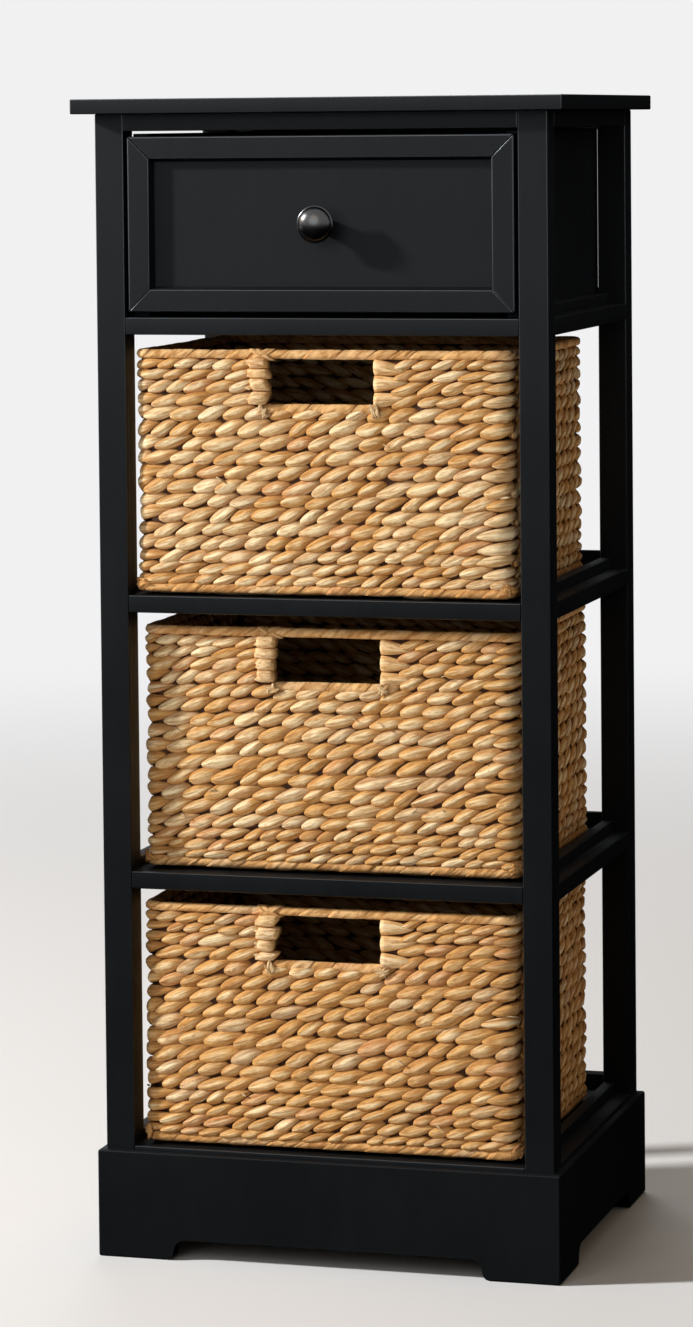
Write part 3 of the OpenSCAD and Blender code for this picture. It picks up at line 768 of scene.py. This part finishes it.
def woven_floor(basket, straw, level, thick, inset, pitch):
    """Rows of leaves across the floor at a level: its top, or its belly under the base rim."""
    draw = basket.draw
    leaves = Strips(8, 5)
    half_x = basket.half_x - inset - pitch * straw.overlap / 2
    half_y = basket.half_y - inset
    rows = round(2 * half_y / basket.step)
    step = 2 * half_y / rows
    look = {
        "overlap": straw.overlap, "thick": thick, "tall": step * FLOOR_FILL,
        "wave": lambda s, z: (0.0, 0.0)}

    def lying(s, out, y):
        return Vector((basket.centre.x + s, y, level + out))

    for row in range(rows):
        y = basket.centre.y - half_y + (row + 0.5) * step
        for middle, width in spaced(-half_x, half_x, pitch, draw):
            look["pitch"] = width
            leaf = leaf_shape(lying, middle, y, look, draw)
            leaves.add(leaf, basket.tone(-FLOOR_TONE), draw.random())
    return leaves


def core_walls(basket, straw):
    """Thin dark sheet inside the weave, so that no light comes between the leaves; its dark colour is
    painted shade.
    """
    thin, shift, past_handle, hair = 0.0012, 0.001, 0.004, 1e-6
    half_count, nudge = 30, 0.0001
    low, high = basket.low + shift, basket.high + shift
    left, right = -basket.handle_half - past_handle, basket.handle_half + past_handle
    ring, form = basket.ring, bmesh.new()
    stops = sorted([left, right] + [
        stop * ring.around / (2 * half_count) + nudge for stop in range(-half_count, half_count)])
    columns = [
        [form.verts.new(ring.at(s, 0, z)) for z in (low, basket.bar_z, high)] for s in stops]
    for stop, column, after in zip(stops, columns, columns[1:] + columns[:1]):
        form.faces.new((column[0], after[0], after[1], column[1]))
        if not left - hair <= stop < right - hair:
            form.faces.new((column[1], after[1], after[2], column[2]))
    bmesh.ops.contextual_create(form, geom=[column[0] for column in columns])
    bmesh.ops.recalc_face_normals(form, faces=form.faces)
    bmesh.ops.solidify(form, geom=form.faces[:], thickness=thin)
    return form


def stray_ends(basket, straw, amount):
    """Loose ends of leaf that stand a little off the wall, and less so off the front."""
    draw, ring = basket.draw, basket.ring
    start, margin, side_share = -0.16, 0.01, 0.3
    handle_half, handle_margin = 0.075, 0.02
    ends = Strips(6, 5)
    for _ in range(amount):
        s = draw.uniform(start, ring.around + start)
        z = draw.uniform(basket.low + margin, basket.high - margin)
        if abs(s) < handle_half and z > basket.handle_low - handle_margin:
            continue
        long, angle = draw.uniform(0.004, 0.009), draw.uniform(-0.6, 0.9)
        thick, lift = draw.uniform(0.0003, 0.0007), draw.uniform(0.0010, 0.0032)
        if abs(s) > ring.straight[0] / 2:
            lift *= side_share

        def shape(across, side, along, s=s, z=z, long=long, angle=angle, thick=thick, lift=lift):
            way = (along + 1) / 2
            out = straw.wall * 0.5 + lift * way ** 2 + thick * side
            point = ring.at(
                s + long * way * math.cos(angle) - thick * across * math.sin(angle), out,
                z + long * way * math.sin(angle) + 1.6 * thick * across * math.cos(angle))
            return point, 0.9

        ends.add(shape, draw.uniform(0.7, 1.0), draw.random())
    return ends


def wrapped_ring(basket, ring, z, diameter, widths, strips, tone, swell=0.0):
    """Turns of wrapping side by side along a ring, swollen at its corners."""
    draw = basket.draw
    front_right = ring.straight[0] / 2 + ring.arc / 2
    back_right = front_right + ring.straight[1] + ring.arc
    corners = (front_right, back_right, -front_right, -back_right)
    corner_run = 0.012
    s = -ring.around / 2
    while s < ring.around / 2 - widths[0] * 0.6:
        wide = min(draw.uniform(*widths), ring.around / 2 - s)
        middle = s + wide / 2
        s += wide
        at_corner = min(abs(middle - corner) for corner in corners) < corner_run
        thick = diameter / 2 * draw.uniform(0.90, 1.06) * (1 + swell * at_corner)
        slant = diameter / 2 * draw.uniform(0.8, 1.6)

        def at(along, out, up, middle=middle):
            return ring.at(middle + along, out, z + up)

        turn_tone = min(max(draw.gauss(tone, 0.16), 0), 1)
        strips.add(wrap_shape(at, wide, thick, slant), turn_tone, draw.random())


def tuft(basket, straw, strips, s, z, tones):
    """A small knot of leaf ends at a place of the wall."""
    draw, ring = basket.draw, basket.ring
    broad, thick = 0.0017, 0.0012
    for _ in range(7):
        tilt, long = draw.uniform(-1.5, 1.5), draw.uniform(0.0035, 0.0060)
        spot = (s + draw.uniform(-0.003, 0.003), z + draw.uniform(-0.0025, 0.0025))

        def knot(across, side, along, tilt=tilt, long=long, spot=spot):
            girth = math.sqrt(max(1 - along * along, 0))
            width, reach = broad * girth * across, long * along
            point = ring.at(
                spot[0] + reach * math.cos(tilt) - width * math.sin(tilt),
                straw.wall * 0.62 + thick * side * girth,
                spot[1] + reach * math.sin(tilt) + width * math.cos(tilt))
            return point, 0.12 + 0.85 * (1 - across * across)

        strips.add(knot, draw.uniform(*tones), draw.random())


def handle_bar(basket, straw, cord):
    """The wrapped bar under the handle's opening."""
    draw, ring = basket.draw, basket.ring
    past_left, past_right, slant = 0.004, 0.002, 0.0028
    x = -basket.handle_half - past_left
    while x < basket.handle_half + past_right:
        wide = draw.uniform(0.012, 0.024)
        middle = x + wide / 2
        x += wide

        def along_bar(along, out, up, middle=middle):
            return ring.at(middle + along, out, basket.bar_z + up)

        thick = straw.rim * 0.44 * draw.uniform(0.94, 1.05)
        cord.add(wrap_shape(along_bar, wide, thick, slant), draw.uniform(0.3, 0.6), draw.random())


def left_bands(basket, straw, cord, cream):
    """The bands round the column at the opening's left, their loose ends, and the cross that ties it."""
    draw, ring = basket.draw, basket.ring
    left = -basket.handle_half - straw.left_wrap / 2
    bottom, top = basket.bar_z + straw.rim * 0.35, basket.top - straw.rim * 0.75
    bands = 4
    for z, step in spaced(bottom, top, (top - bottom) / bands, draw):
        breadth = straw.left_wrap / 2 * draw.uniform(0.82, 1.10)
        sway = draw.uniform(-0.0016, 0.0004)

        def band_round(along, out, up, z=z, sway=sway, breadth=breadth):
            """A band that lies across the column, its ends at the column's sides."""
            bow = straw.wall * 0.30 * math.sqrt(max(1 - (along / breadth) ** 2 * 0.8, 0))
            return ring.at(left + sway + along, out + (bow if out > 0 else -bow), z + up)

        band = wrap_shape(
            band_round, breadth * 2 / WRAP_OVERLAP, step * 0.62, draw.uniform(-0.0032, 0.0032),
            draw.uniform(0.82, 0.92), seam_shade=0.75)
        cream.add(band, draw.uniform(0.15, 0.75), draw.choice((0.10, 0.50, 0.50, 0.90)))
        for _ in range(2):
            stub = draw.uniform(0.004, 0.007)
            level, tilt = z + draw.uniform(-0.3, 0.3) * step, draw.uniform(-0.25, 0.35)
            start = left - straw.left_wrap / 2 * draw.uniform(0.85, 1.05)

            def loose_end(across, side, along, level=level, tilt=tilt, stub=stub, start=start):
                thin = math.sqrt(max(1 - along * along, 0)) * 0.0016
                reach = stub / 2 * along
                point = ring.at(
                    start + reach, straw.wall * 0.55 + 0.7 * thin * side,
                    level + tilt * reach + thin * across)
                return point, 0.5 + 0.5 * (1 - abs(across))

            cream.add(loose_end, draw.uniform(0.5, 1.0), draw.uniform(0.2, 0.8))
    for lean in (-0.0034, 0.0034):

        def over_rim(along, out, up, lean=lean):
            """One arm of the cross that ties the column to the rim."""
            s = left + 0.002 + along + lean * up / straw.rim * 2
            return ring.at(s, out, top + straw.rim * 0.28 + up)

        arm = wrap_shape(over_rim, 0.0085, straw.rim * 0.54, lean)
        cord.add(arm, draw.uniform(0.45, 0.75), 0.5)


def folded_leaves(basket, straw, cream):
    """Leaves folded round the opening's right edge: broad there, and drawn in to the right."""
    draw, ring = basket.draw, basket.ring
    folds = 3
    step = (basket.top - straw.rim * 0.7 - basket.bar_z) / folds
    for fold in range(folds):
        z = basket.bar_z + (fold + 0.5) * step
        flare = draw.uniform(0.55, 0.78)
        reach = straw.right_wrap * draw.uniform(1.15, 1.45)
        droop = draw.uniform(-0.35, 0.25) * step

        def folded(across, side, along, z=z, flare=flare, reach=reach, droop=droop):
            way = (along + 1) / 2
            around = math.hypot(across, side) or 1.0
            across, side = across / around, side / around
            girth = math.sqrt(max(1 - abs(along) ** 24, 0)) if along < 0 else math.sqrt(1 - along ** 4)
            breadth = step * 0.53 * (1 - flare * way ** 1.4) * girth
            crest = max(1 - abs(across) ** 3, 0.0)
            depth = straw.wall * (0.70 - 0.24 * way) * side * girth * (0.55 + 0.45 * crest)
            point = ring.at(
                basket.handle_half - 0.0010 + reach * way, depth, z + droop * way + breadth * across)
            return point, 0.08 + 0.92 * crest

        cream.add(folded, draw.uniform(0.30, 0.80), draw.uniform(0.2, 0.8))


def handle_wraps(basket, straw, cord, cream):
    """All that is wrapped round the handle's opening, and the knots at its lower corners."""
    handle_bar(basket, straw, cord)
    left_bands(basket, straw, cord, cream)
    folded_leaves(basket, straw, cream)
    for corner in (-basket.handle_half - 0.005, basket.handle_half + 0.002):
        tuft(basket, straw, cream, corner, basket.bar_z - 0.001, tones=(0.3, 0.9))


# ---------------------------------------------------------------- operators

class TOWER_OT_boards(bpy.types.Operator):
    """Paint the posts, rails, shelves, top and skirt"""
    bl_idname = "tower.boards"
    bl_label = "Painted boards"

    def execute(self, context):
        paint = paints(context.scene.tower_paint)
        nodes = ["top_panel"]
        nodes += [post + "_post" for post in POSTS]
        nodes += [f"top_{side}_rail" for side in SIDES]
        nodes += [f"{level}_shelf_{side}_rail" for level in LEVELS for side in SIDES]
        nodes += [f"{level}_shelf_{part}" for level in LEVELS for part in ("panel", "guides")]
        nodes += [side + "_skirt" for side in SIDES]
        for node in nodes:
            painted(node, paint)
        self.run_bow_out(bpy.data.objects["top_back_rail_painted"])
        return {"FINISHED"}

    def run_bow_out(self, rail):
        """Draws the top back rail's low middle out to the posts, so that no light comes under it."""
        low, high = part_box("top_back_rail")
        low_face, taper_top, from_post = 0.0006, 0.0030, 0.0015
        rear_half = (low.y + high.y) / 2 - 0.0001
        for vert in rail.data.vertices:
            rise = vert.co.z - low.z
            at_end = abs(vert.co.x) > high.x * 0.9 and vert.co.y > rear_half
            if rise < low_face or (rise < taper_top and at_end):
                vert.co.x = math.copysign(high.x - from_post, vert.co.x)


class TOWER_OT_drawer(bpy.types.Operator):
    """Paint the drawer, its mitred moulding with rounded edges"""
    bl_idname = "tower.drawer"
    bl_label = "Drawer"

    def execute(self, context):
        look = context.scene.tower_paint
        paint = paints(look)
        for part in ("panel", "left_side", "right_side", "back", "bottom"):
            painted("drawer_" + part, paint)
        for side in ("top", "bottom", "left", "right"):
            painted("drawer_frame_" + side, paint, ease=look.mitre_ease)
        return {"FINISHED"}


class TOWER_OT_hardware(bpy.types.Operator):
    """Give the screws and dowels their finishes"""
    bl_idname = "tower.hardware"
    bl_label = "Screws and dowels"

    def execute(self, context):
        steel, wood = bare_steel(), beech()
        finishes = {"top_screws": steel, "knob_screw": steel, "rail_dowels": wood, "drawer_dowels": wood}
        for node, finish in finishes.items():
            materials = frame["nodes"][node].data.materials
            materials.clear()
            materials.append(finish)
        return {"FINISHED"}


class TOWER_OT_knob(bpy.types.Operator):
    """Turn the knob: foot, waist, bead and dome"""
    bl_idname = "tower.knob"
    bl_label = "Knob"

    def execute(self, context):
        look = context.scene.tower_knob
        low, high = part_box("knob")
        axis = (low + high) / 2
        reach, radius = high.y - low.y, (high.x - low.x) / 2
        foot, bead_at, bead = radius * 0.5, reach * 0.70, look.bead
        waist, dome = foot * 0.9, radius - bead * 0.9
        foot_round, foot_h, waist_h = 0.0004, 0.0010, 0.0028
        outline = [(0.0002, 0), (foot, 0), (foot * 1.02, foot_round), (foot, foot_h), (waist, waist_h)]
        for angle in arc(0, 90, 8)[1:]:
            outline.append((
                waist + (radius - bead - waist) * (1 - math.cos(angle)),
                waist_h + (bead_at - bead - waist_h) * math.sin(angle)))
        for angle in arc(-80, 80, 8):
            outline.append((
                radius - bead / 2 + bead / 2 * math.cos(angle), bead_at + bead / 2 * math.sin(angle)))
        for angle in arc(6, 90, 12):
            outline.append((
                max(dome * math.cos(angle), 0.0), bead_at + (reach - bead_at) * math.sin(angle)))
        form = bmesh.new()
        points = [form.verts.new((axis.x + r, high.y - y, axis.z)) for r, y in outline]
        edges = [form.edges.new(pair) for pair in zip(points, points[1:])]
        bmesh.ops.spin(
            form, geom=points + edges, cent=(axis.x, 0, axis.z), axis=(0, 1, 0), angle=math.tau,
            steps=64, use_merge=True)
        bmesh.ops.remove_doubles(form, verts=form.verts, dist=SAME_POINT)
        bmesh.ops.holes_fill(form, edges=form.edges, sides=0)
        bmesh.ops.recalc_face_normals(form, faces=form.faces)
        metal = finish_named("darkened_metal", knob_metal, look)
        add_piece("turned_knob", form, body_of("knob"), [metal], ["knob"])
        return {"FINISHED"}


class TOWER_OT_weaves(bpy.types.Operator):
    """Weave the walls and floor of the three baskets"""
    bl_idname = "tower.weaves"
    bl_label = "Woven walls"

    def execute(self, context):
        straw = context.scene.tower_straw
        leaf = finish_named(
            "dried_leaf", leaf_finish, "dried_leaf", straw,
            (straw.pale, straw.gold, straw.brown, straw.pink), 1.0)
        core = finish_named("weave_core", core_finish, straw)
        for level in BASKETS:
            basket = Basket(level, straw)
            form = bmesh.new()
            belly = (basket.low - basket.foot) / 2
            for strips in (
                    woven_walls(basket, straw),
                    woven_floor(
                        basket, straw, basket.low + straw.floor * 0.55, thick=straw.floor * 0.5,
                        inset=straw.wall / 2, pitch=straw.leaf_pitch),
                    woven_floor(
                        basket, straw, basket.foot + belly, thick=belly,
                        inset=straw.wall * 0.2, pitch=straw.leaf_pitch * 1.6),
                    stray_ends(basket, straw, amount=26)):
                strips.into(form)
            bmesh.ops.recalc_face_normals(form, faces=form.faces)
            node = level + "_basket_weave"
            add_piece(level + "_basket_leaves", form, basket.body, [leaf], [node])
            add_piece(
                level + "_basket_core", core_walls(basket, straw), basket.body, [core])
        return {"FINISHED"}


class TOWER_OT_rims(bpy.types.Operator):
    """Wrap the rims, the base rims and the handles of the three baskets"""
    bl_idname = "tower.rims"
    bl_label = "Wrapped rims"

    def execute(self, context):
        straw = context.scene.tower_straw
        cord = finish_named(
            "cord_leaf", leaf_finish, "cord_leaf", straw,
            (straw.cord_light, straw.cord, straw.brown, straw.pink), 0.0)
        cream = finish_named(
            "cream_leaf", leaf_finish, "cream_leaf", straw,
            (straw.cream, straw.cord_light, straw.gold, straw.pink), 0.2)
        for level in BASKETS:
            basket = Basket(level, straw)
            basket.draw.seed("rims " + level)
            ring = basket.ring
            turns, bands, base = Strips(12, 7, True), Strips(12, 7), Strips(12, 7, True)
            wrapped_ring(
                basket, ring, basket.top - straw.rim * 0.44, diameter=straw.rim * 0.86,
                widths=(0.014, 0.030), strips=turns, tone=0.46)
            handle_wraps(basket, straw, turns, bands)
            base_z = basket.base + straw.base_rim * 0.42
            wrapped_ring(
                basket, ring, base_z, diameter=straw.base_rim * 0.96,
                widths=(0.012, 0.026), strips=base, tone=0.24, swell=0.12)
            front_corner = (ring.straight[0] + ring.arc) / 2
            for corner in (-front_corner, front_corner):
                tuft(basket, straw, base, corner, base_z + 0.0035, tones=(0.0, 0.3))
            for name, strips, finish, node in (
                    ("rim", turns, cord, "rim"), ("handle_bands", bands, cream, None),
                    ("base_rim", base, cord, "base_rim")):
                form = bmesh.new()
                strips.into(form)
                bmesh.ops.recalc_face_normals(form, faces=form.faces)
                replaced = [f"{level}_basket_{node}"] if node else []
                add_piece(
                    f"{level}_basket_{name}_wrapped", form, basket.body, [finish],
                    replaced)
        return {"FINISHED"}


class TOWER_OT_stage(bpy.types.Operator):
    """Set up the floor, the lights and the camera"""
    bl_idname = "tower.stage"
    bl_label = "Stage"

    def execute(self, context):
        stage = context.scene.tower_stage
        self.make_floor(stage)
        self.make_air(context.scene, stage)
        self.make_lamp("key", stage.key, size=0.50, place=(-4.83, -2.08, 3.08), aim=(0, 0, 0.55))
        self.make_lamp("fill", stage.fill, size=2.2, place=(-0.6, -3.2, 1.7), aim=(0, 0, 0.5))
        self.make_lamp("rim", stage.rim, size=1.0, place=(-0.4, 1.3, 2.7), aim=(0, 0, 0.5))
        self.make_cards()
        self.make_camera(context.scene, stage)
        context.scene.view_settings.view_transform = "Standard"
        return {"FINISHED"}

    def make_floor(self, stage):
        """A pale floor that keeps the shadow, and fades to the backdrop where it is looked at."""
        radius, fade_start, fade_end = 30, 0.8, 4.0
        form = bmesh.new()
        bmesh.ops.create_circle(form, cap_ends=True, segments=96, radius=radius)
        finish = Finish("pale_floor")
        spot = finish.node("ShaderNodeTexCoord", output=3)
        far = finish.node("ShaderNodeVectorMath", {"operation": "LENGTH"}, {0: spot}, output=1)
        plain = finish.node(
            "ShaderNodeBsdfPrincipled", {},
            {"Base Color": (*stage.floor, 1), "Roughness": 0.8, "Specular IOR Level": 0.2})
        glow = finish.node("ShaderNodeEmission", {}, {"Color": (*stage.backdrop, 1), "Strength": 1.0})
        seen = finish.node("ShaderNodeLightPath")
        away = finish.ramp(far, fade_start, fade_end) * seen
        mixed = finish.node("ShaderNodeMixShader", {}, {0: away, 1: plain, 2: glow})
        finish.node("ShaderNodeOutputMaterial", {}, {"Surface": mixed})
        floor = new_object("floor", form, [finish.material])
        floor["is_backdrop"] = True

    def make_air(self, scene, stage):
        """White where it is looked at or mirrored, and a soft even light elsewhere."""
        world = bpy.data.worlds.new("studio")
        scene.world = world
        air = Nodes(world)
        path = air.node("ShaderNodeLightPath")
        seen = path
        for kind in ("Is Glossy Ray", "Is Transmission Ray"):
            seen = air.node("ShaderNodeMath", {"operation": "MAXIMUM"}, {0: seen, 1: path.other(kind)})
        strength = air.node(
            "ShaderNodeMapRange", {}, {"Value": seen, "To Min": stage.air, "To Max": 1.0})
        tint = air.mix(seen, stage.bounce, stage.backdrop)
        back = air.node("ShaderNodeBackground", {}, {"Color": tint, "Strength": strength})
        air.node("ShaderNodeOutputWorld", {}, {"Surface": back})

    def make_cards(self):
        """Black cards round the tower, seen only in the paint's sheen."""
        form = bmesh.new()
        quarter = math.pi / 2
        upright = Matrix.Rotation(quarter, 4, "X")
        turned = Matrix.Rotation(math.radians(-18), 4, "Z") @ upright
        behind = Matrix.Translation((0.95, 2.2, 1.4)) @ turned
        on_floor = Matrix.Translation((0.2, -0.4, 0.0006))
        low_in_front = Matrix.Translation((0.3, -0.75, -1.22)) @ upright
        at_right = Matrix.Translation((2.4, 0.6, -0.7)) @ Matrix.Rotation(quarter, 4, "Y")
        for place, size in ((behind, 2.2), (on_floor, 4.0), (low_in_front, 2.0), (at_right, 1.6)):
            bmesh.ops.create_grid(form, x_segments=1, y_segments=1, size=size, matrix=place)
        black = Finish("black_card").surface({"Base Color": (0, 0, 0, 1), "Specular IOR Level": 0.0})
        card = new_object("black_card", form, [black])
        card.visible_camera = card.visible_diffuse = card.visible_shadow = False
        card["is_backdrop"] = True

    def make_lamp(self, name, strength, size, place, aim):
        """A round lamp at a place, turned to what it is aimed at."""
        lamp = bpy.data.lights.new(name, "AREA")
        lamp.shape = "DISK"
        lamp.size = size
        lamp.energy = strength
        holder = bpy.data.objects.new(name, lamp)
        bpy.context.scene.collection.objects.link(holder)
        holder.location = place
        holder.rotation_euler = (Vector(aim) - Vector(place)).to_track_quat("-Z", "Y").to_euler()

    def make_camera(self, scene, stage):
        """The photograph's camera, its shift eased so that the whole tower stays in view."""
        lens = bpy.data.cameras.new("camera")
        lens.lens = stage.lens
        lens.shift_y = stage.shift
        camera = bpy.data.objects.new("camera", lens)
        scene.collection.objects.link(camera)
        turn = Matrix.Rotation(stage.turn, 4, "Z")
        tilt = Matrix.Rotation(math.pi / 2 - stage.tilt, 4, "X")
        roll = Matrix.Rotation(stage.roll, 4, "Z")
        camera.matrix_world = Matrix.Translation(stage.camera) @ turn @ tilt @ roll
        scene.camera = camera


class TOWER_PT_looks(bpy.types.Panel):
    """Lists the pieces of the tower"""
    bl_label = "Storage tower"
    bl_idname = "TOWER_PT_looks"
    bl_space_type = "VIEW_3D"
    bl_region_type = "UI"
    bl_category = "Tower"

    def draw(self, context):
        for operator in OPERATORS:
            self.layout.operator(operator.bl_idname)
        for group in GROUPS:
            self.layout.label(text=group.__doc__)
            for name in group.__annotations__:
                self.layout.prop(getattr(context.scene, GROUPS[group]), name)


GROUPS = {
    TowerPaint: "tower_paint", TowerKnob: "tower_knob", TowerStraw: "tower_straw",
    TowerStage: "tower_stage",
}
OPERATORS = (
    TOWER_OT_boards, TOWER_OT_drawer, TOWER_OT_hardware, TOWER_OT_knob, TOWER_OT_weaves,
    TOWER_OT_rims, TOWER_OT_stage,
)


def register():
    for group, name in GROUPS.items():
        bpy.utils.register_class(group)
        setattr(bpy.types.Scene, name, bpy.props.PointerProperty(type=group))
    for shown in (*OPERATORS, TOWER_PT_looks):
        bpy.utils.register_class(shown)


def unregister():
    for shown in (TOWER_PT_looks, *reversed(OPERATORS)):
        bpy.utils.unregister_class(shown)
    for group, name in GROUPS.items():
        delattr(bpy.types.Scene, name)
        bpy.utils.unregister_class(group)


def main():
    register()
    for operator in OPERATORS:
        getattr(bpy.ops.tower, operator.bl_idname.split(".")[1])()
    sizes = {"cad": CAD_BOX, "visual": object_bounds()}
    {key: [list(corner) for corner in box] for key, box in sizes.items()}


if __name__ == "__main__":
    main()
